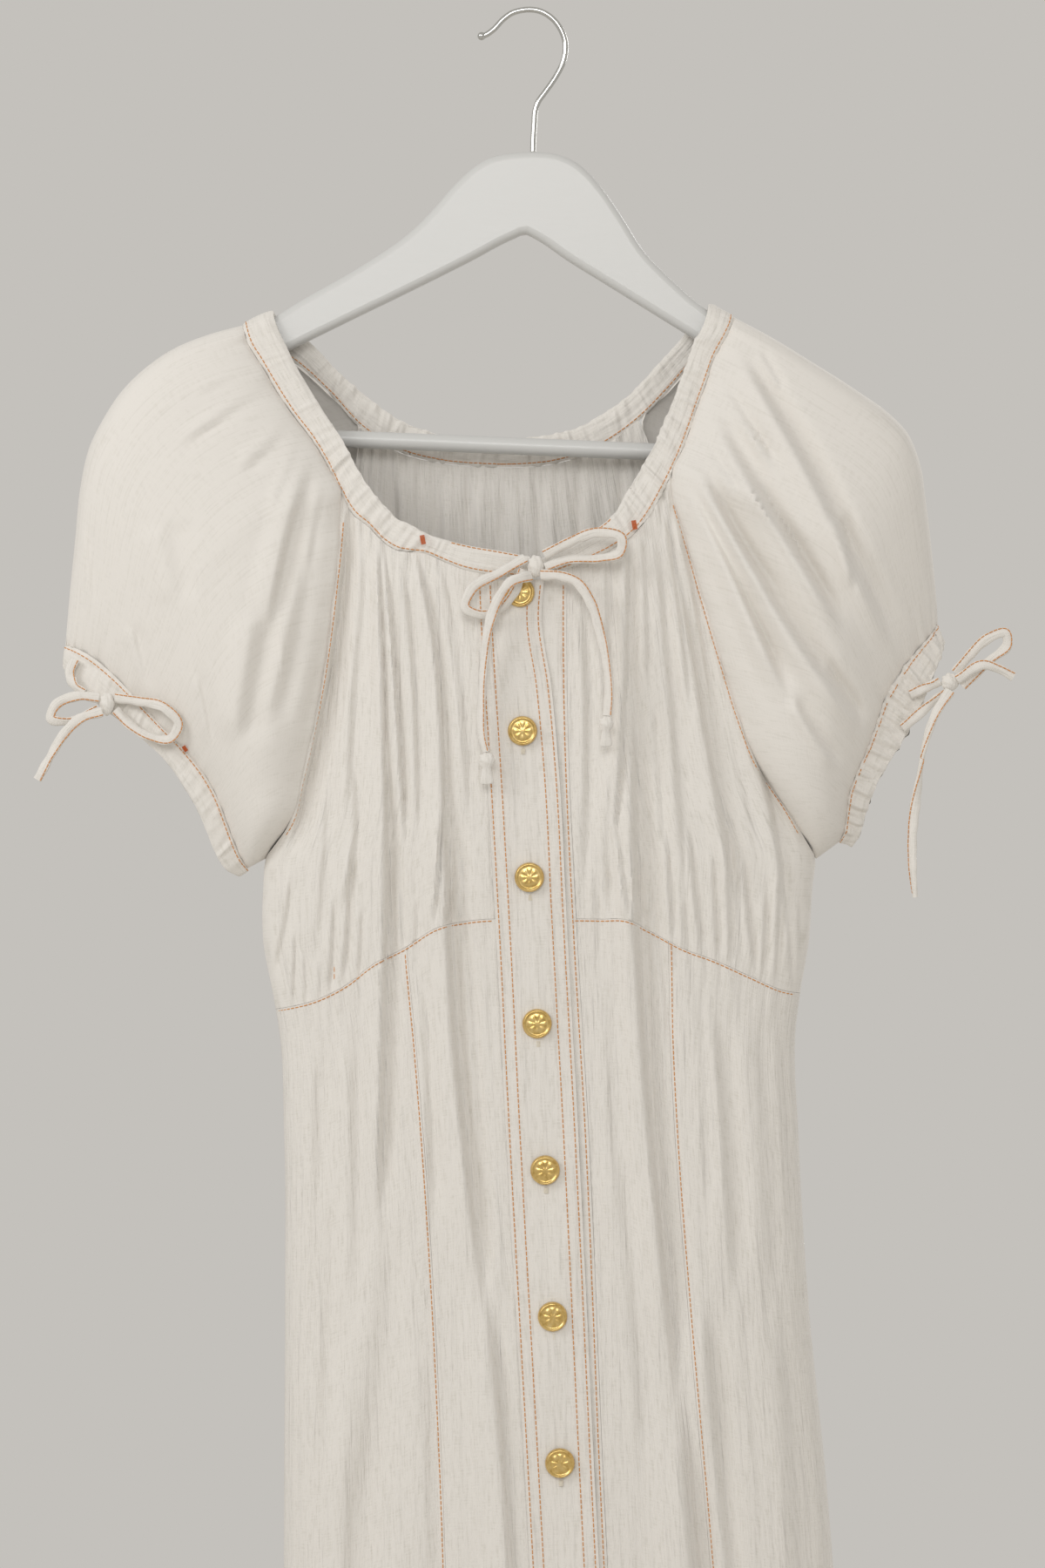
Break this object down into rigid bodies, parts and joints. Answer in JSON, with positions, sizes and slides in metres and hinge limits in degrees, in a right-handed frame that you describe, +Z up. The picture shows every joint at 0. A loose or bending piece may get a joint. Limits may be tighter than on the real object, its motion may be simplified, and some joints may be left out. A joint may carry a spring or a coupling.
{
  "type": "midi dress on a hanger",
  "caption": "Short-sleeved button-front midi dress in crinkled gauze with drawn-in neck and cuffs tied in bows, hung on a painted wooden hanger.",
  "frame": {"origin": "the inner top of the hanger's hook, where a rail carries it", "axes": "+Z up, +X to the right of the dress as seen from its front, -Y out of its front"},
  "size_m": [0.5648, 0.1087, 1.2947],
  "materials": {
    "gauze": "matte",
    "thread": "matte",
    "button_metal": "satin",
    "painted_wood": "satin",
    "hook_wire": "polished"
  },
  "bodies": {
    "root": {"bodice_back": "gauze", "bodice_front_left": "gauze", "bodice_front_right": "gauze", "button_01": "button_metal", "button_02": "button_metal", "button_03": "button_metal", "button_04": "button_metal", "button_05": "button_metal", "button_06": "button_metal", "button_07": "button_metal", "button_08": "button_metal", "button_09": "button_metal", "button_10": "button_metal", "button_11": "button_metal", "button_band_top": "gauze", "button_band_under": "gauze", "cuff_left": "gauze", "cuff_right": "gauze", "cuff_tie_left_knot": "gauze", "cuff_tie_left_lead": "gauze", "cuff_tie_left_loop_inner": "gauze", "cuff_tie_left_loop_outer": "gauze", "cuff_tie_left_tail": "gauze", "cuff_tie_right_knot": "gauze", "cuff_tie_right_lead_lower": "gauze", "cuff_tie_right_lead_upper": "gauze", "cuff_tie_right_loop": "gauze", "cuff_tie_right_tail_long": "gauze", "cuff_tie_right_tail_short": "gauze", "hanger_bar": "painted_wood", "hanger_board": "painted_wood", "hanger_hook": "hook_wire", "neck_casing": "gauze", "neck_tie_end_left": "gauze", "neck_tie_end_right": "gauze", "neck_tie_knot": "gauze", "neck_tie_loop_left": "gauze", "neck_tie_loop_right": "gauze", "neck_tie_tail_left": "gauze", "neck_tie_tail_right": "gauze", "skirt_back": "gauze", "skirt_front_left": "gauze", "skirt_front_right": "gauze", "skirt_side_front_left": "gauze", "skirt_side_front_right": "gauze", "sleeve_left": "gauze", "sleeve_right": "gauze"}
  },
  "joints": []
}
